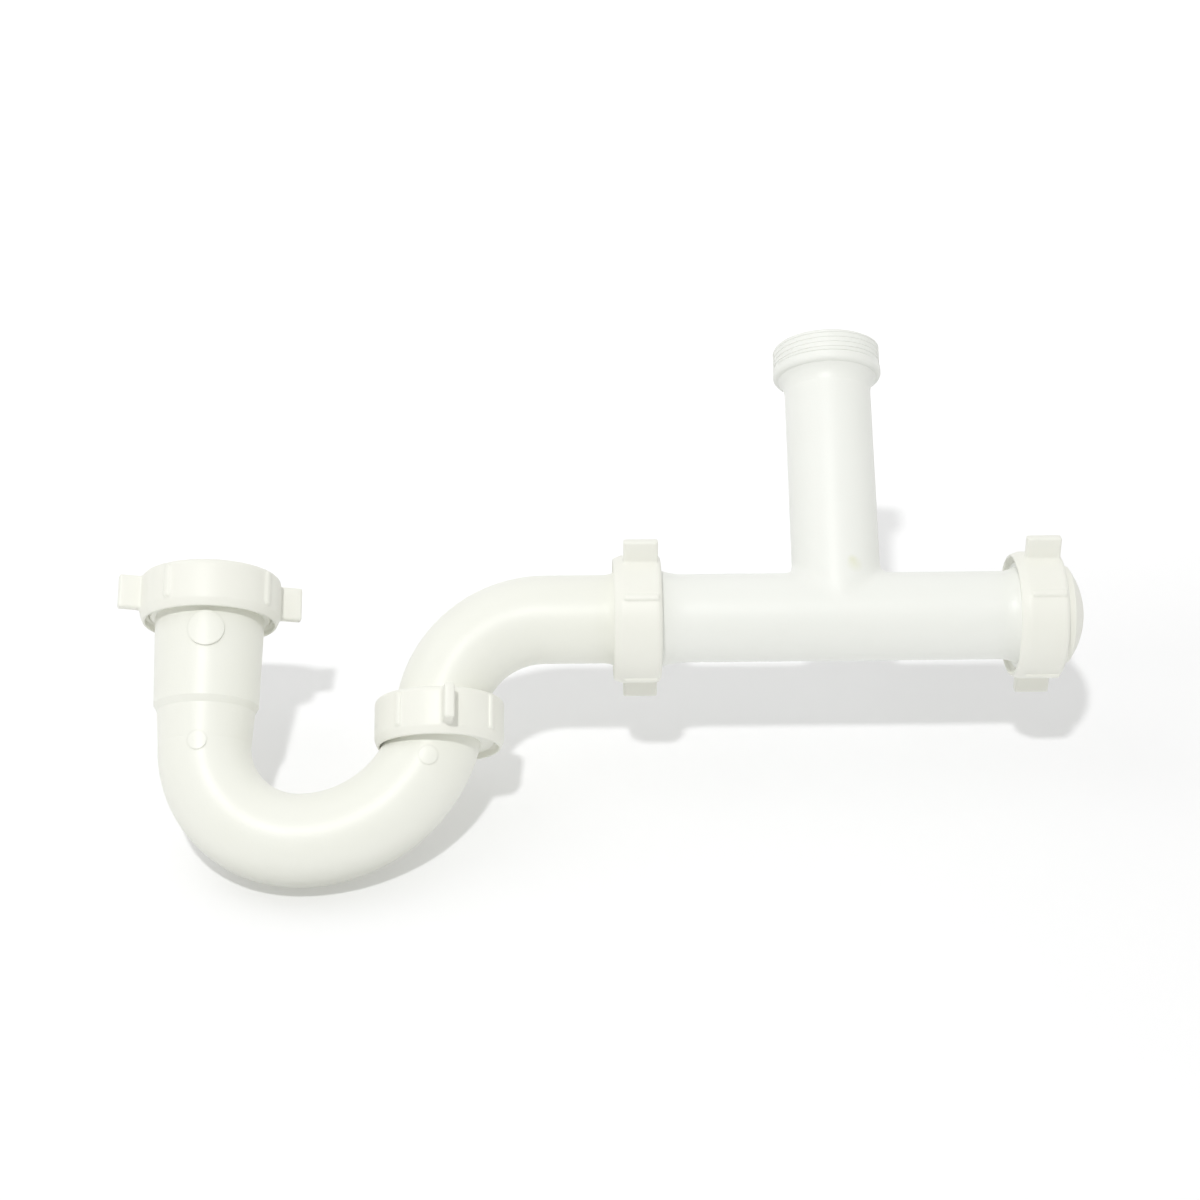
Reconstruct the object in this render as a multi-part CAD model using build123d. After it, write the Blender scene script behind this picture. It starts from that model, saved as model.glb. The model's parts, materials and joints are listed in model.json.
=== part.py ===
from build123d import *
import os

# Waste tube
tube_r = 20.0
tube_wall = 2.2
bore_r = tube_r - tube_wall

# Clearances between pieces
socket_clear = 0.28
spigot_clear = 0.1
turn_clear = 0.1
thread_clear = 0.3
flange_clear = 0.3
washer_clear = 1.2
lip_clear = 0.7

# Threaded collars and the sockets inside them
thread_r = tube_r + 4.5
inlet_thread_r = thread_r + 2.5
socket_r = tube_r + socket_clear
socket_depth = 9.0
collar_chamfer = 0.8
cove_r = tube_r + 1.9
cove_length = 7.0

# Winged nuts, with radii measured out from the thread
nut_wall = 4.0
nut_length = 21.5
lip_thick = 3.0
lip_hole_r = cove_r + lip_clear
mouth_gap = 1.8
mouth_rim = 1.1
mouth_depth = 3.0
mouth_bevel = 3.6
lip_bevel = 1.4
grip_start = 4.6
wing_reach = 10.0
wing_thick = 4.6
wing_round = 1.6
rib_width = 3.2
rib_height = 1.2
rib_round = 0.9

# What is held under each nut: washer, flange of the next piece, slip ring
washer_thick = 2.5
flange_thick = 2.5
flange_r = thread_r - flange_clear
inlet_flange_r = inlet_thread_r - flange_clear
ring_thick = 1.0
spigot_r = tube_r - spigot_clear
spigot_length = socket_depth - 1.0
flange_low = washer_thick + turn_clear
flange_high = flange_low + flange_thick
ring_low = flange_high + turn_clear
lip_low = ring_low + ring_thick + turn_clear
lip_high = lip_low + lip_thick
seat_height = nut_length - lip_high
collar_recess = 2.2
collar_length = seat_height - collar_recess

# Trap bend, with its inlet mouth at the origin
bend_r = tube_r + 0.5
leg_r = bend_r + 1.1
bend_bore_r = bend_r - tube_wall
inlet_depth = 51.5
inlet_step = 53.5
inlet_socket_top_r = tube_r + 4.4
inlet_socket_low_r = tube_r + 3.2
inlet_shoulder = 3.0
bend_depth = 111.5
bend_in_radius = 43.0
bend_out_radius = 61.0
bend_out_angle = 84.0
outlet_rise = 53.0
bend_seat_z = outlet_rise - bend_depth
outlet_x = bend_in_radius + bend_out_radius

# Elbow and tee
elbow_radius = 47.0
arm_length = 43.2
arm_z = bend_seat_z + elbow_radius
arm_seat_x = outlet_x + elbow_radius + arm_length
branch_run = 89.8
branch_x = arm_seat_x + branch_run
branch_height = 131.5
run_length = 180.0
end_seat_x = arm_seat_x + run_length
neck_length = 10.0

# Branch collar, whose thread ends on a rounded bead
branch_thread_length = 11.0
bead_r = thread_r + 0.7
bead_length = 4.5
bead_round = 2.3
branch_collar_length = branch_thread_length + bead_length

# Blanking plug
plug_rise = 11.0
plug_dome_r = 36.5
plug_wall = 2.5

# Raised discs on the front of the trap bend, as x, z and radius
disc_rise = 0.6
badge = (2.4, -20.8, 8.0)
leg_dot = (0.0, -70.6, 4.2)
bend_dot = (100.5, -78.4, 4.2)

# How far each nut is turned about its own axis, in degrees
inlet_turn = 17.0
bend_turn = -80.0
arm_turn = 43.0
end_turn = 43.0


def turned(*points):
    outline = Polyline(*points, close=True)
    return revolve(make_face(Plane.XZ * outline), Axis.Z)


def rod(radius, low, high):
    return Pos(0, 0, low) * Cylinder(radius, high - low, align=(Align.CENTER, Align.CENTER, Align.MIN))


def ring(inner, outer, low, high):
    return rod(outer, low, high) - rod(inner, low, high)


def cove(radius, length):
    edges = Polyline((tube_r, length), (0, length), (0, 0), (radius, 0))
    curve = TangentArc((tube_r, length), (radius, 0), tangent=(0, -1))
    return revolve(make_face(Plane.XZ * (edges + curve)), Axis.Z)


def collar(radius, length):
    return turned(
        (0, -length),
        (radius - collar_chamfer, -length),
        (radius, collar_chamfer - length),
        (radius, -collar_chamfer),
        (radius - collar_chamfer, 0),
        (0, 0),
    )


def coved_collar():
    under = Pos(0, 0, -collar_length) * Rot(180, 0, 0) * cove(cove_r, cove_length)
    return collar(thread_r, collar_length) + under


def beaded_collar():
    bead = rod(bead_r, -branch_collar_length, -branch_thread_length)
    bead = fillet(bead.edges().sort_by(Axis.Z)[0], bead_round)
    under = Pos(0, 0, -branch_collar_length) * Rot(180, 0, 0) * cove(bead_r - bead_round, cove_length)
    return collar(thread_r, branch_thread_length) + bead + under


def grip(reach, width, rounding):
    length = nut_length - lip_bevel - grip_start
    block = Box(reach, width, length, align=(Align.MIN, Align.CENTER, Align.MIN))
    outer_face = block.faces().sort_by(Axis.X)[-1]
    return fillet(outer_face.edges(), rounding)


def winged_nut(thread):
    mouth_r = thread + mouth_gap
    nut_bore_r = thread + thread_clear
    nut_r = nut_bore_r + nut_wall
    body = turned(
        (mouth_r, 0),
        (mouth_r + mouth_rim, 0),
        (nut_r, mouth_bevel),
        (nut_r, nut_length - lip_bevel),
        (nut_r - lip_bevel, nut_length),
        (lip_hole_r, nut_length),
        (lip_hole_r, nut_length - lip_thick),
        (nut_bore_r, nut_length - lip_thick),
        (nut_bore_r, mouth_depth),
        (mouth_r, mouth_depth),
    )
    wing = grip(nut_r + wing_reach, wing_thick, wing_round)
    rib = grip(nut_r + rib_height, rib_width, rib_round)
    grips = wing + Rot(0, 0, 180) * wing
    for angle in (45, 135, 225, 315):
        grips += Rot(0, 0, angle) * rib
    grips -= rod(nut_bore_r + 1, 0, nut_length)
    return body + Pos(0, 0, grip_start) * grips


def swivel_end():
    flange = rod(flange_r, flange_low, flange_high)
    return flange + rod(cove_r, flange_low, lip_high) + rod(spigot_r, -spigot_length, flange_low)


def union_washer(outer, thick):
    return ring(tube_r + washer_clear, outer, 0, thick)


def slip_ring(outer):
    return ring(lip_hole_r, outer, ring_low, ring_low + ring_thick)


def bend_solid(radius):
    low = Vector(bend_in_radius, 0, -bend_depth)
    rise = Vector(0, 0, bend_out_radius)
    high = low + rise - rise.rotate(Axis.Y, -bend_out_angle)
    path = Line((0, 0, -inlet_step), (0, 0, bend_in_radius - bend_depth))
    path += TangentArc(path @ 1, low, tangent=(0, 0, -1))
    path += TangentArc(low, high, tangent=(1, 0, 0))
    return sweep(Plane((0, 0, -inlet_step), z_dir=(0, 0, -1)) * Circle(radius), path=path)


def elbow_solid(radius, end_x):
    start = (outlet_x, 0, bend_seat_z)
    turn = (outlet_x + elbow_radius, 0, arm_z)
    path = TangentArc(start, turn, tangent=(0, 0, 1)) + Line(turn, (end_x, 0, arm_z))
    return sweep(Plane(start, z_dir=(0, 0, 1)) * Circle(radius), path=path)


def front_disc(place, skin):
    x, z, radius = place
    return Pos(x, 0, z) * Rot(90, 0, 0) * rod(radius, 0, 2 * bend_r) & skin


# Seats: the end face of each threaded collar, with its axis pointing out
inlet_seat = Location((0, 0, 0))
bend_seat = Location((outlet_x, 0, bend_seat_z))
arm_seat = Pos(arm_seat_x, 0, arm_z) * Rot(0, 90, 0)
end_seat = Pos(end_seat_x, 0, arm_z) * Rot(0, 90, 0)
branch_seat = Location((branch_x, 0, arm_z + branch_height))

# Trap bend
inlet_socket = turned(
    (0, bend_in_radius - bend_depth),
    (bend_r, bend_in_radius - bend_depth),
    (leg_r, -inlet_step),
    (inlet_socket_low_r, inlet_shoulder - inlet_step),
    (inlet_socket_top_r, -collar_length),
    (0, -collar_length),
)
badge_skin = rod(inlet_socket_top_r + disc_rise, -inlet_step, -collar_length)
disc_skin = bend_solid(bend_r + disc_rise)
trap_bend = bend_solid(bend_r) + inlet_socket
trap_bend += inlet_seat * collar(inlet_thread_r, collar_length) + bend_seat * collar(thread_r, collar_length)
trap_bend += front_disc(badge, badge_skin) + front_disc(leg_dot, disc_skin) + front_disc(bend_dot, disc_skin)
trap_bend -= bend_solid(bend_bore_r) + rod(bend_bore_r, -inlet_step, -inlet_depth)
trap_bend -= inlet_seat * rod(socket_r, -inlet_depth, 0)
trap_bend -= bend_seat * (rod(socket_r, -socket_depth, 0) + rod(2 * tube_r, 0, 2 * tube_r))

# Elbow
outlet_elbow = elbow_solid(tube_r, arm_seat_x - collar_length)
outlet_elbow += bend_seat * swivel_end() + arm_seat * coved_collar()
outlet_elbow -= elbow_solid(bore_r, arm_seat_x) + bend_seat * rod(bore_r, -spigot_length, 0)
outlet_elbow -= arm_seat * rod(socket_r, -socket_depth, 0)

# Tee
tee = arm_seat * (swivel_end() + rod(tube_r, flange_high, run_length))
tee += arm_seat * Pos(0, 0, lip_high) * cove(cove_r, neck_length)
tee += end_seat * coved_collar()
tee += branch_seat * (rod(tube_r, -branch_height, 0) + beaded_collar())
tee -= arm_seat * rod(bore_r, -spigot_length, run_length) + branch_seat * rod(bore_r, -branch_height, 0)
tee -= end_seat * rod(socket_r, -socket_depth, 0)
tee -= branch_seat * rod(socket_r, -socket_depth, 0)

# Nuts
nut = winged_nut(thread_r)
on_seat = Pos(0, 0, -seat_height)
inlet_nut = inlet_seat * on_seat * Rot(0, 0, inlet_turn) * winged_nut(inlet_thread_r)
bend_nut = bend_seat * on_seat * Rot(0, 0, bend_turn) * nut
arm_nut = arm_seat * on_seat * Rot(0, 0, arm_turn) * nut
end_nut = end_seat * on_seat * Rot(0, 0, end_turn) * nut

# Blanking plug: a domed cup with a flange
plug_high = lip_high + plug_rise
dome_centre = Pos(0, 0, plug_high - plug_dome_r)
plug = rod(cove_r, washer_thick, plug_high) & dome_centre * Sphere(plug_dome_r)
plug += rod(flange_r, washer_thick, flange_high)
plug -= rod(cove_r - plug_wall, washer_thick, plug_high) & dome_centre * Sphere(plug_dome_r - plug_wall)

pieces = {
    "trap_bend": trap_bend,
    "inlet_nut": inlet_nut,
    "inlet_slip_ring": inlet_seat * slip_ring(inlet_flange_r),
    "inlet_washer": inlet_seat * union_washer(inlet_flange_r, flange_high),
    "bend_nut": bend_nut,
    "bend_slip_ring": bend_seat * slip_ring(flange_r),
    "bend_washer": bend_seat * union_washer(flange_r, washer_thick),
    "outlet_elbow": outlet_elbow,
    "arm_nut": arm_nut,
    "arm_slip_ring": arm_seat * slip_ring(flange_r),
    "arm_washer": arm_seat * union_washer(flange_r, washer_thick),
    "tee": tee,
    "end_nut": end_nut,
    "end_slip_ring": end_seat * slip_ring(flange_r),
    "end_washer": end_seat * union_washer(flange_r, washer_thick),
    "end_plug": end_seat * plug,
}

os.makedirs("parts", exist_ok=True)
for name, piece in pieces.items():
    export_step(piece, f"parts/{name}.step")
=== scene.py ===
# %% [markdown]
# # A tubular trap
# A waste trap under a sink is a U-bend that holds water, an elbow, and here a tee with a spare
# branch. Winged nuts pull the pieces together. The CAD already has every tube, nut, ring and
# washer in its place, so this lesson adds what a mould gives the real ones: soft nuts, screw
# threads, a rounded root at the branch, satin plastic, and studio light.

# %% Load the CAD
import json
from math import cos, pi, radians, sin
import bpy
from mathutils import Matrix, Vector


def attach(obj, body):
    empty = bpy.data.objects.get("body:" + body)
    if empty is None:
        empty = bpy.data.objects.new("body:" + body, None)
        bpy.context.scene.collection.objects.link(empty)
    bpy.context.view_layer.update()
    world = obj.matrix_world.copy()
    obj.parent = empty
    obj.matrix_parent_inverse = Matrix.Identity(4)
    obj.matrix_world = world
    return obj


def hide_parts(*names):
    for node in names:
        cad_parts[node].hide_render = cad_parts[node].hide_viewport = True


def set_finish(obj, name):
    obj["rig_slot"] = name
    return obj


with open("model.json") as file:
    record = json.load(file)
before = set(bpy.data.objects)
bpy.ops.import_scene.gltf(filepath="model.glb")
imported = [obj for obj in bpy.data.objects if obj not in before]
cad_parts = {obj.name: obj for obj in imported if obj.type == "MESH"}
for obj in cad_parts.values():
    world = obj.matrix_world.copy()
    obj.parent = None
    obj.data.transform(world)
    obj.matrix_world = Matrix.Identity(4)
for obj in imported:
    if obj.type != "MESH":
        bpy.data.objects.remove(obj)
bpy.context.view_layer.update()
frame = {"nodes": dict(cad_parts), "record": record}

nodes = frame["nodes"]
record = frame["record"]
print("CAD nodes:", ", ".join(sorted(nodes)))

# %% [markdown]
# ## Seats
# Each nut sits on a seat: the end of a threaded collar, with an axis that points out of it. We
# could copy those places by hand, but the record already has them, as the pivots of the joints
# and as the mount at the top of the branch, so we read them there. Sizes below are in
# millimetres, as on a drawing, and `mm` turns them into Blender's metres.

# %% Seats
mm = 0.001
Z = Vector((0, 0, 1))
NUT_JOINT = "_nut_turn"


def seat(row):
    """A matrix that puts a piece, made standing on Z at the origin, onto its seat."""
    turn = Z.rotation_difference(Vector(row["axis"])).to_matrix().to_4x4()
    return Matrix.Translation(row["pos_m"]) @ turn


SEATS = {}
for row in record["behaviour"]["joints"]:
    if row["name"].endswith(NUT_JOINT):
        SEATS[row["name"].removesuffix(NUT_JOINT)] = seat(row)
for row in record["mounts"]:
    if row["name"] == "branch_socket":
        SEATS["branch"] = seat(row)
for name, place in SEATS.items():
    print("seat", name, [round(x / mm, 1) for x in place.translation])

# %% [markdown]
# ## Turning a piece, as on a lathe
# Nuts are round about their axis. One could spin a drawn outline, but it is as easy to start
# from a circle and walk along the outline: extrude the ring, move it, scale it, and go on. The
# last ring lands on the first and is merged.

# %% Lathe
LATHE_STEPS, MERGE = 128, 1e-6


def pick(piece):
    bpy.ops.object.select_all(action="DESELECT")
    bpy.context.view_layer.objects.active = piece
    piece.select_set(True)


def shape(piece, *steps):
    """Run edit-mode steps on the whole mesh of one piece."""
    pick(piece)
    bpy.ops.object.mode_set(mode="EDIT")
    bpy.ops.mesh.select_all(action="SELECT")
    for step in steps:
        step()
    bpy.ops.object.mode_set(mode="OBJECT")
    return piece


def face_outward():
    bpy.ops.mesh.select_all(action="SELECT")
    bpy.ops.mesh.remove_doubles(threshold=MERGE)
    bpy.ops.mesh.normals_make_consistent(inside=False)


def turned(name, profile):
    """A closed ring with the given (radius, height) corners."""
    bpy.ops.object.select_all(action="DESELECT")
    first_r, first_z = profile[0]
    bpy.ops.mesh.primitive_circle_add(
        vertices=LATHE_STEPS, radius=first_r * mm, location=(0, 0, first_z * mm))
    bpy.ops.object.transform_apply()
    piece = bpy.context.object
    piece.name = name

    def walk():
        for (r, z), (next_r, next_z) in zip(profile, profile[1:] + profile[:1]):
            rise = (0, 0, (next_z - z) * mm)
            bpy.ops.mesh.extrude_edges_move(TRANSFORM_OT_translate={"value": rise})
            widen = (next_r / r, next_r / r, 1)
            bpy.ops.transform.resize(value=widen, center_override=(0, 0, 0))

    return shape(piece, walk, face_outward)


def finish(piece, kind, **settings):
    """Add a modifier and make it part of the mesh at once."""
    pick(piece)
    modifier = piece.modifiers.new(kind.title(), kind)
    for key, value in settings.items():
        setattr(modifier, key, value)
    bpy.ops.object.modifier_apply(modifier=modifier.name)


print("lathe ready")

# %% [markdown]
# ## The nut's body
# The real nut is a moulded cup with a lip: the lip pulls on a slip ring, and the bore holds the
# thread. The mouth is wider than the bore and the outside has a long bevel there. Both sizes of
# nut share one outline, measured out from the radius of the thread, so one function turns them
# all.

# %% Nut body
THREAD_R, INLET_THREAD_R = 24.5, 27.0
NUT_LENGTH, NUT_WALL, THREAD_CLEAR = 21.5, 4.0, 0.3
LIP_HOLE_R, LIP_THICK, LIP_BEVEL = 22.6, 3.0, 1.4
MOUTH_GAP, MOUTH_RIM, MOUTH_DEPTH, MOUTH_BEVEL = 1.8, 1.1, 3.0, 3.6


def skin_radius(thread_r):
    return thread_r + THREAD_CLEAR + NUT_WALL


def nut_body(name, thread_r):
    mouth, bore = thread_r + MOUTH_GAP, thread_r + THREAD_CLEAR
    skin, ledge = skin_radius(thread_r), NUT_LENGTH - LIP_THICK
    return turned(name, [
        (mouth, 0), (mouth + MOUTH_RIM, 0),
        (skin, MOUTH_BEVEL), (skin, NUT_LENGTH - LIP_BEVEL),
        (skin - LIP_BEVEL, NUT_LENGTH), (LIP_HOLE_R, NUT_LENGTH),
        (LIP_HOLE_R, ledge), (bore, ledge),
        (bore, MOUTH_DEPTH), (mouth, MOUTH_DEPTH)])


print("nut skin radius:", skin_radius(THREAD_R), "and", skin_radius(INLET_THREAD_R))

# %% [markdown]
# ## Wings and ribs
# Two wings let a hand tighten the nut, and four low ribs keep fingers from slipping. Each is a
# bevelled block. One wing and one rib are modelled, copied around the axis and joined to the nut
# with a Boolean. Bevelling where they meet the nut would be hard by hand, so a voxel Remesh melts
# all into one skin and Smooth rounds its roots and edges.

# %% Wings and ribs
GRIP_START, GRIP_ROOT, GRIP_BEVEL = 4.6, 1.8, 0.5
WING_REACH, WING_THICK, WING_ANGLES = 10.0, 4.6, (0, 180)
RIB_HEIGHT, RIB_WIDTH, RIB_ANGLES = 1.1, 3.2, (45, 135, 225, 315)
NUT_VOXEL, NUT_SMOOTHING = 0.6, 6


def soften_block():
    bpy.ops.mesh.bevel(offset=GRIP_BEVEL * mm, segments=2, affect="EDGES")


def block(skin, reach, width):
    low, high = GRIP_START, NUT_LENGTH - LIP_BEVEL
    inner, outer = skin - GRIP_ROOT, skin + reach
    bpy.ops.object.select_all(action="DESELECT")
    bpy.ops.mesh.primitive_cube_add(
        size=1, location=((inner + outer) / 2 * mm, 0, (low + high) / 2 * mm),
        scale=((outer - inner) * mm, width * mm, (high - low) * mm))
    bpy.ops.object.transform_apply()
    return shape(bpy.context.object, soften_block)


def copies_around(piece, angles):
    copies = []
    for angle in angles:
        copy = piece.copy()
        copy.data = piece.data.copy()
        copy.data.transform(Matrix.Rotation(radians(angle), 4, "Z"))
        bpy.context.scene.collection.objects.link(copy)
        copies.append(copy)
    bpy.data.objects.remove(piece)
    return copies


def combine(piece, tool, operation):
    finish(piece, "BOOLEAN", object=tool, operation=operation, solver="EXACT")
    bpy.data.objects.remove(tool)


def melt(piece, voxel, smoothing):
    """Turn joined shapes into one skin, with soft roots and edges."""
    finish(piece, "REMESH", mode="VOXEL", voxel_size=voxel * mm)
    finish(piece, "SMOOTH", factor=0.5, iterations=smoothing)


def winged_nut(name, thread_r):
    nut = nut_body(name, thread_r)
    skin = skin_radius(thread_r)
    wings = copies_around(block(skin, WING_REACH, WING_THICK), WING_ANGLES)
    ribs = copies_around(block(skin, RIB_HEIGHT, RIB_WIDTH), RIB_ANGLES)
    for grip in wings + ribs:
        combine(nut, grip, "UNION")
    melt(nut, NUT_VOXEL, NUT_SMOOTHING)
    return shape(nut, face_outward)


print("wings reach", WING_REACH, "mm out of the nut")

# %% [markdown]
# ## Four nuts
# Each nut stops at its own turn once it is tight, as in the photograph. It hides the plain CAD
# nut and rides on the same body, so it turns and climbs with its joint.

# %% Place the nuts
SEAT_HEIGHT = 12.2
NUTS = {
    "inlet": {"thread_r": INLET_THREAD_R, "turn": 17},
    "bend": {"thread_r": THREAD_R, "turn": -80},
    "arm": {"thread_r": THREAD_R, "turn": 43},
    "end": {"thread_r": THREAD_R, "turn": 43},
}
made = {}
for joint, row in NUTS.items():
    nut = winged_nut(joint + "_wing_nut", row["thread_r"])
    lower = Matrix.Translation((0, 0, -SEAT_HEIGHT * mm))
    turn = Matrix.Rotation(radians(row["turn"]), 4, "Z")
    nut.data.transform(SEATS[joint] @ lower @ turn)
    pick(nut)
    bpy.ops.object.shade_smooth()
    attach(nut, joint + "_nut")
    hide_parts(joint + "_nut")
    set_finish(nut, "nut_plastic")
    made[nut.name] = nut
    print(nut.name, len(nut.data.polygons), "faces")

# %% [markdown]
# ## Threads
# Every collar has a few turns of thread: four on the open branch, ready for one more nut, and
# three under each nut, which show once it is undone. A thread could be drawn as a bump, but its
# edge shows against the background, so it is a real ridge: a small six-sided ring beside the
# collar, wound up with a Screw modifier that rises by one pitch a turn. Its two open ends are
# filled. Under a nut the ridge is sunk a little deeper, to stay within the room that the nut's
# bore leaves.

# %% Threads
PITCH, RIDGE_R, RIDGE_SIDES, STEPS_A_TURN = 2.309, 0.62, 6, 96
SHARP_EDGE = radians(40)
OPEN_THREAD = {"low": 10.0, "turns": 4, "sunk": 0.2}
NUT_THREAD = {"low": 8.5, "turns": 3, "sunk": 0.3}
COLLARS = {
    "branch": ("tee", THREAD_R, OPEN_THREAD),
    "inlet": ("trap", INLET_THREAD_R, NUT_THREAD),
    "bend": ("trap", THREAD_R, NUT_THREAD),
    "arm": ("elbow", THREAD_R, NUT_THREAD),
    "end": ("tee", THREAD_R, NUT_THREAD),
}


def close_ends():
    bpy.ops.mesh.fill_holes(sides=0)


def thread(name, radius, low, turns, sunk):
    bpy.ops.object.select_all(action="DESELECT")
    bpy.ops.mesh.primitive_circle_add(
        vertices=RIDGE_SIDES, radius=RIDGE_R * mm,
        location=((radius - sunk) * mm, 0, -low * mm), rotation=(pi / 2, 0, 0))
    bpy.ops.object.transform_apply()
    ridge = bpy.context.object
    ridge.name = name
    finish(ridge, "SCREW", steps=STEPS_A_TURN, render_steps=STEPS_A_TURN,
           iterations=turns, screw_offset=PITCH * mm)
    return shape(ridge, close_ends, face_outward)


def keep(piece, body):
    """Shade a new tube piece, tie it to its body and remember it."""
    pick(piece)
    bpy.ops.object.shade_smooth_by_angle(angle=SHARP_EDGE)
    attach(piece, body)
    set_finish(piece, "tube_plastic")
    made[piece.name] = piece


for collar, (body, radius, winding) in COLLARS.items():
    ridge = thread(collar + "_thread", radius, **winding)
    ridge.data.transform(SEATS[collar])
    keep(ridge, body)
    print(ridge.name, len(ridge.data.polygons), "faces")

# %% [markdown]
# ## The root of the branch
# On the moulded tee the branch flows into the run through a soft root. A bevel of that crease
# fails, because both tubes have one radius and the crease fades out at the sides. So two short
# rods, a hair proud of the tubes, are joined, melted with Remesh and smoothed: smoothing fills
# the crease and sinks the rest just under the CAD's skin. Thinner rods then bore the inside out.

# %% Branch root
TUBE_R, ROOT_REACH, ROD_STEPS = 20.0, 46.0, 160
ROOT_PROUD, ROOT_WALL, BORE_EXTRA = 0.1, 1.2, 14.0
ROOT_VOXEL, ROOT_SMOOTHING = 0.8, 110
run_z = SEATS["arm"].translation.z
branch_x = SEATS["branch"].translation.x


def rod(radius, length, lift, tilt):
    bpy.ops.object.select_all(action="DESELECT")
    bpy.ops.mesh.primitive_cylinder_add(
        vertices=ROD_STEPS, radius=radius * mm, depth=length * mm,
        location=(branch_x, 0, run_z + lift * mm), rotation=(0, tilt, 0))
    bpy.ops.object.transform_apply()
    return bpy.context.object


def crossing_rods(name, radius, reach):
    run = rod(radius, 2 * reach, 0, pi / 2)
    branch = rod(radius, reach, reach / 2, 0)
    combine(run, branch, "UNION")
    run.name = name
    return run


root = crossing_rods("branch_root", TUBE_R + ROOT_PROUD, ROOT_REACH)
melt(root, ROOT_VOXEL, ROOT_SMOOTHING)
combine(root, crossing_rods("bore", TUBE_R - ROOT_WALL, ROOT_REACH + BORE_EXTRA), "DIFFERENCE")
shape(root, face_outward)
keep(root, "tee")
print("root:", len(root.data.polygons), "faces")

# %% [markdown]
# ## Shader maths
# Materials can be built by dragging links, but long sums are easier to read as sums. This small
# class wraps a socket, so that `a * 0.5 + b` adds two Math nodes. Every other node comes from
# `node`, with its settings and its inputs.

# %% Sockets with operators


class Value:
    def __init__(self, tree, socket):
        self.tree, self.socket = tree, socket

    def node(self, kind, settings=None, inputs=None, output=0):
        node = self.tree.nodes.new(kind)
        for key, value in (settings or {}).items():
            setattr(node, key, value)
        for key, value in (inputs or {}).items():
            if isinstance(value, Value):
                self.tree.links.new(value.socket, node.inputs[key])
            else:
                node.inputs[key].default_value = value
        return Value(self.tree, node.outputs[output])

    def math(self, operation, first, second=0.0, clamp=False):
        settings = {"operation": operation, "use_clamp": clamp}
        return self.node("ShaderNodeMath", settings, {0: first, 1: second})

    def __add__(self, other):
        return self.math("ADD", self, other)

    def __sub__(self, other):
        return self.math("SUBTRACT", self, other)

    def __mul__(self, other):
        return self.math("MULTIPLY", self, other)

    def __abs__(self):
        return self.math("ABSOLUTE", self)

    __radd__ = __add__
    __rmul__ = __mul__

    def below(self, limit):
        return self.math("LESS_THAN", self, limit)

    def length_with(self, other):
        return self.math("SQRT", self * self + other * other)

    def line(self, width):
        """1 where the value is 0, fading to 0 at the given width on each side."""
        return self.math("SUBTRACT", 1.0, abs(self) * (1 / width), clamp=True)

    def part(self, axis):
        return self.node("ShaderNodeSeparateXYZ", {}, {0: self}, axis)

    def noise(self, scale, detail=2.0):
        inputs = {"Vector": self, "Scale": scale, "Detail": detail}
        return self.node("ShaderNodeTexNoise", {}, inputs, "Fac")

    def mix(self, low, high):
        colours = {"Factor": self, 6: low, 7: high}
        return self.node("ShaderNodeMix", {"data_type": "RGBA"}, colours, 2)

    def feed(self, target):
        self.tree.links.new(self.socket, target)


print("shader helper ready")

# %% [markdown]
# ## Moulded plastic
# The trap is satin off-white plastic. A plain colour would look like paint, so a slow noise
# shifts the tint, a fine one varies the gloss, and both make a faint bump. A thin seam runs along
# the middle plane, where the halves of the mould met, and a painted shade line darkens the edge
# of each raised disc, where its small step would throw shade.
# The tee has one small yellow stain near its branch. All of it is on Object coordinates, so it
# stays on its moving piece.

# %% Plastic
PLASTIC_IOR = 1.49
CLOUD_SCALE, CLOUD_DETAIL, CLOUD_BUMP, CLOUD_GLOSS = 38.0, 3.0, 0.07, 0.10
GRAIN_SCALE, GRAIN_BUMP, GRAIN_GLOSS = 900.0, 0.03, 0.10
SEAM_WIDTH, SEAM_BUMP = 0.3, 0.05
# width, strength and darkness of the painted shade line on the edge of each raised disc
EDGE_SHADE_WIDTH, EDGE_SHADE_STRENGTH, RIM_SHADE = 0.8, 0.3, 0.8
STAIN, STAIN_STRENGTH = (0.77, 0.78, 0.54, 1), 0.7


def plastic(name, pale, deep, rough, discs=(), stains=()):
    material = bpy.data.materials.new(name)
    material.use_nodes = True
    tree = material.node_tree
    shader = tree.nodes["Principled BSDF"]
    shader.inputs["IOR"].default_value = PLASTIC_IOR
    place = Value(tree, tree.nodes.new("ShaderNodeTexCoord").outputs["Object"])
    x, y, z = (place.part(axis) for axis in "XYZ")
    front = y.below(0.0)
    cloud, grain = place.noise(CLOUD_SCALE, CLOUD_DETAIL), place.noise(GRAIN_SCALE)
    colour = cloud.mix(pale, deep)
    # painted shade: a darker ring along the edge of each raised disc, on the front
    edge_shade_colour = tuple(RIM_SHADE * c for c in deep[:3]) + (1,)
    for disc_x, disc_z, radius in discs:
        from_centre = (x - disc_x * mm).length_with(z - disc_z * mm)
        rim = (from_centre - radius * mm).line(EDGE_SHADE_WIDTH * mm)
        colour = (rim * front * EDGE_SHADE_STRENGTH).mix(colour, edge_shade_colour)
    for stain_x, stain_z, radius in stains:
        stain = (x - stain_x * mm).length_with(z - stain_z * mm).line(radius * mm)
        colour = (stain * front * cloud * STAIN_STRENGTH).mix(colour, STAIN)
    seam = y.line(SEAM_WIDTH * mm)
    height = cloud * CLOUD_BUMP + grain * GRAIN_BUMP + seam * SEAM_BUMP
    bump = {"Strength": 1.0, "Distance": mm, "Height": height}
    colour.feed(shader.inputs["Base Color"])
    (cloud * CLOUD_GLOSS + grain * GRAIN_GLOSS + rough).feed(shader.inputs["Roughness"])
    place.node("ShaderNodeBump", {}, bump).feed(shader.inputs["Normal"])
    return material


print("plastic ready")

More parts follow.
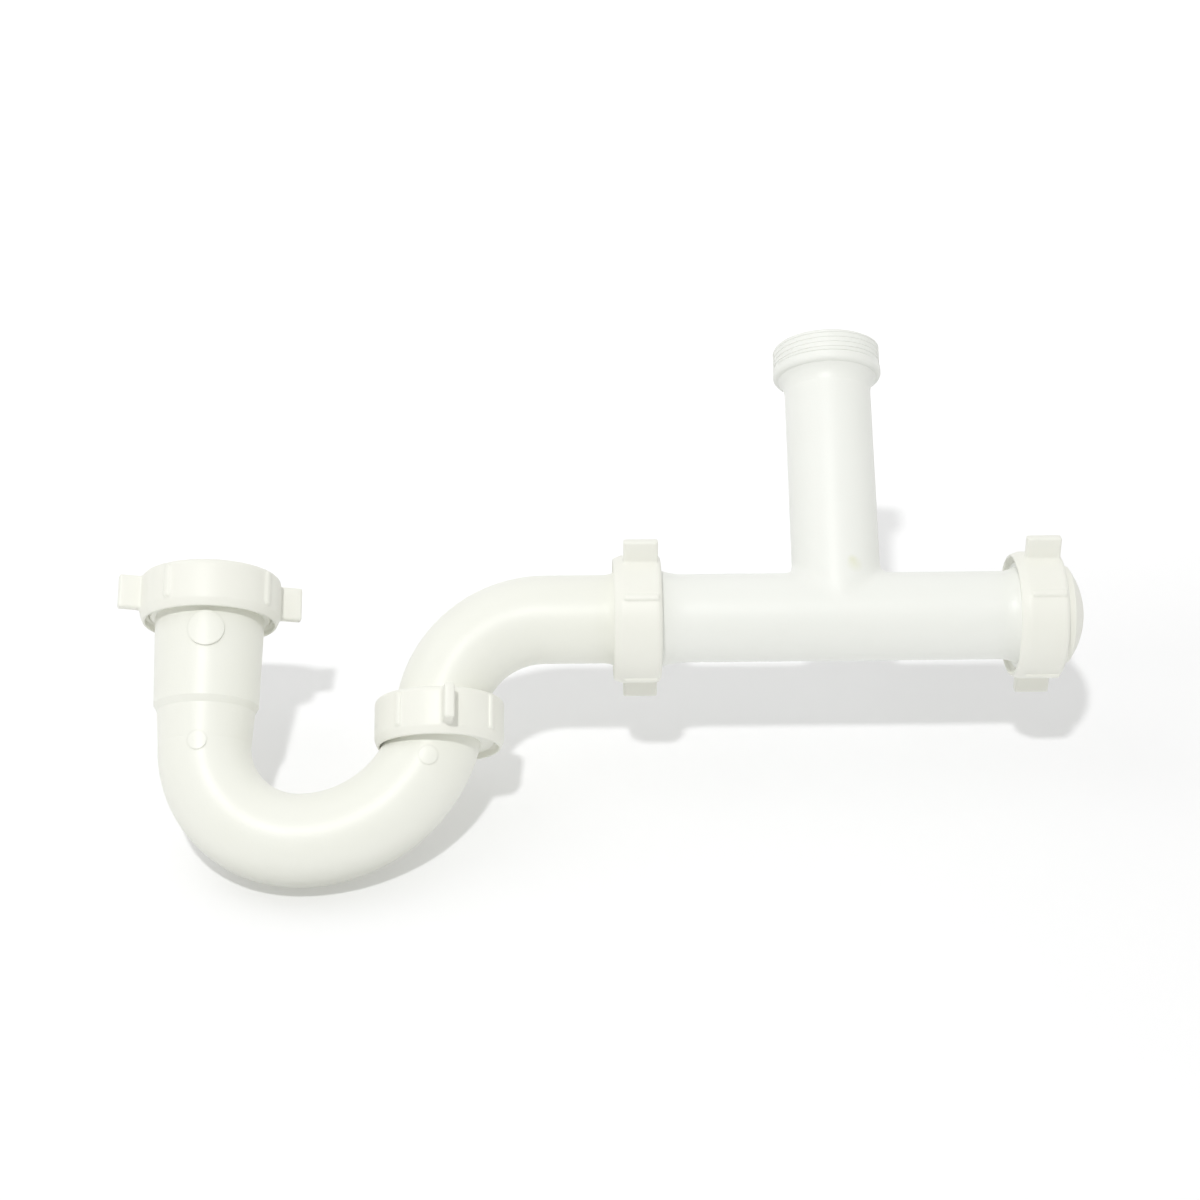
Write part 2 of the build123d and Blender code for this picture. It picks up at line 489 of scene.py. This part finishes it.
# %% [markdown]
# ## Looks
# The bend and the elbow are a little more ivory than the tee, and the nuts more than the tubes.
# The slip rings are a clearer plastic and the washers grey rubber. The record names a slot for
# each node, which picks its look. Discs and stains are (x, z, radius) on the front.

# %% Looks
DISCS = [(2.4, -20.8, 8.0), (0, -70.6, 4.2), (100.5, -78.4, 4.2)]
STAINS = [(290.2, 7.4, 4.2), (289.2, 9.6, 2.6)]
IVORY_PIECES = ["trap_bend", "outlet_elbow", "inlet_thread", "bend_thread", "arm_thread"]
LOOKS = {
    "tube_plastic": plastic(
        "tube_plastic", pale=(0.90, 0.91, 0.875, 1), deep=(0.88, 0.89, 0.85, 1), rough=0.30,
        stains=STAINS),
    "nut_plastic": plastic(
        "nut_plastic", pale=(0.90, 0.90, 0.84, 1), deep=(0.875, 0.875, 0.805, 1), rough=0.34),
    "ring_plastic": plastic(
        "ring_plastic", pale=(0.84, 0.85, 0.80, 1), deep=(0.78, 0.80, 0.74, 1), rough=0.28),
    "washer_rubber": plastic(
        "washer_rubber", pale=(0.60, 0.59, 0.54, 1), deep=(0.52, 0.51, 0.46, 1), rough=0.62),
}
ivory = plastic(
    "ivory_plastic", pale=(0.90, 0.905, 0.845, 1), deep=(0.875, 0.88, 0.81, 1), rough=0.30,
    discs=DISCS)
slot_of = {row["node"]: row["material_slot"] for row in record["subparts"]}
for name, piece in [*nodes.items(), *made.items()]:
    slot = slot_of[name] if name in slot_of else piece["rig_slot"]
    piece.data.materials.clear()
    piece.data.materials.append(ivory if name in IVORY_PIECES else LOOKS[slot])
print("looks:", ", ".join(LOOKS), "and ivory for", ", ".join(IVORY_PIECES))

# %% [markdown]
# ## A pale table
# The trap lies on a white table that leans back from the foot of the bend, so its shadow falls
# further away towards the top. A flat grid is enough. More light would make the table pure white
# but burn out the trap, so instead the table glows a little for the camera, through Light Path,
# and more towards its far end. Seen from behind it turns clear, through Backfacing, so that it
# never hides the trap. Light that the trap would get from right beside it comes from behind the
# table too, or else a black smudge would stay on the bend's back, without a table to explain it.

# %% Table
LEAN, TABLE_SIZE, TABLE_FOOT = radians(35), 6.0, (0.18, 0.010, -0.134)
TABLE_PALE, TABLE_DEEP, TABLE_NOISE = (0.95, 0.95, 0.96, 1), (0.93, 0.93, 0.94, 1), 6.0
TABLE_ROUGH, TABLE_SHINE = 0.9, 0.1
GLOW, FAR_GLOW, GLOW_RISE = 0.05, 0.3, 2.5
GLOW_RAYS = ("Is Camera Ray", "Is Glossy Ray", "Is Transmission Ray")
CONTACT = 0.035
bpy.ops.object.select_all(action="DESELECT")
bpy.ops.mesh.primitive_grid_add(
    x_subdivisions=2, y_subdivisions=2, size=TABLE_SIZE,
    location=TABLE_FOOT, rotation=(pi / 2 - LEAN, 0, 0))
bpy.ops.object.transform_apply()
table = bpy.context.object
table.name = "table"
white = bpy.data.materials.new("table_white")
white.use_nodes = True
tree = white.node_tree
paper = tree.nodes["Principled BSDF"]
paper.inputs["Roughness"].default_value = TABLE_ROUGH
paper.inputs["Specular IOR Level"].default_value = TABLE_SHINE
paper.inputs["Emission Strength"].default_value = 1.0
place = Value(tree, tree.nodes.new("ShaderNodeTexCoord").outputs["Object"])
place.noise(TABLE_NOISE).mix(TABLE_DEEP, TABLE_PALE).feed(paper.inputs["Base Color"])


def light_path(output):
    return place.node("ShaderNodeLightPath", output=output)


seen = sum(light_path(ray) for ray in GLOW_RAYS)
far = place.math("MULTIPLY", place.part("Z"), GLOW_RISE, clamp=True)
(seen * (GLOW + FAR_GLOW * far)).feed(paper.inputs["Emission Color"])
behind = place.node("ShaderNodeNewGeometry", output="Backfacing")
touching = light_path("Is Diffuse Ray") * light_path("Ray Length").below(CONTACT)
sheet = {0: behind + touching, 1: Value(tree, paper.outputs[0]),
         2: place.node("ShaderNodeBsdfTransparent")}
place.node("ShaderNodeMixShader", {}, sheet).feed(tree.nodes["Material Output"].inputs["Surface"])
table.data.materials.append(white)
print("table normal:", [round(x, 2) for x in table.data.polygons[0].normal])

# %% [markdown]
# ## Studio light
# A white world fills the shadows, as a light tent does, brighter above than below. One small lamp
# stands two metres in front, a little left of the camera and above it: a sun would throw all
# shadows the same way, but those in the photograph spread apart. A large lamp from above left
# softens the light on top of the tubes.

# %% Light
LOW_LIGHT, HIGH_LIGHT = (0.475, 0.48, 0.445, 1), (0.765, 0.765, 0.765, 1)
LAMPS = {
    "key": {"at": (-0.12, -2.2, 0.32), "towards": (0.18, 0, -0.03),
            "energy": 17.5, "shape": "DISK", "size": 0.13},
    "top": {"at": (-0.45, -0.6, 0.6), "towards": (0.18, 0, -0.02),
            "energy": 0.8, "shape": "RECTANGLE", "size": 0.9, "size_y": 0.5},
}
world = bpy.data.worlds.new("studio")
bpy.context.scene.world = world
world.use_nodes = True
sky = world.node_tree
toward = Value(sky, sky.nodes.new("ShaderNodeTexCoord").outputs["Generated"])
height = toward.part("Z") * 0.5 + 0.5
height.mix(LOW_LIGHT, HIGH_LIGHT).feed(sky.nodes["Background"].inputs["Color"])


def lamp(name, at, towards, **settings):
    data = bpy.data.lights.new(name, "AREA")
    for key, value in settings.items():
        setattr(data, key, value)
    light = bpy.data.objects.new(name, data)
    bpy.context.scene.collection.objects.link(light)
    light.location = at
    light.rotation_euler = (Vector(towards) - Vector(at)).to_track_quat("-Z", "Y").to_euler()


for name, settings in LAMPS.items():
    lamp(name, **settings)
print("lights:", ", ".join(LAMPS))

# %% [markdown]
# ## Camera
# The photograph looks up at the trap a little, from almost straight ahead. The angles, the lens
# and the distance were found by laying the CAD's outline over the photograph, so the camera is
# placed by those numbers and not by eye.

# %% Camera
AZIMUTH, ELEVATION, ROLL = radians(-0.7061), radians(-17.5492), radians(-0.7958)
DISTANCE, RISE, TARGET = 0.9879, 0.0168, Vector((0.176, 0, -0.02))
LENS, SENSOR = 65.69, 36
reach = cos(ELEVATION)
away = Vector((sin(AZIMUTH) * reach, -cos(AZIMUTH) * reach, sin(ELEVATION)))
level = (-away).cross(Z).normalized()
upward = level.cross(-away)
right = level * cos(ROLL) + upward * sin(ROLL)
up = upward * cos(ROLL) - level * sin(ROLL)
data = bpy.data.cameras.new("camera")
data.sensor_width = SENSOR
data.lens = LENS
camera = bpy.data.objects.new("camera", data)
bpy.context.scene.collection.objects.link(camera)
camera.matrix_world = Matrix((right, up, away)).transposed().to_4x4()
camera.location = TARGET + away * DISTANCE + up * RISE
bpy.context.scene.camera = camera
bpy.context.scene.view_settings.view_transform = "Standard"
print("camera at", [round(x, 3) for x in camera.location])
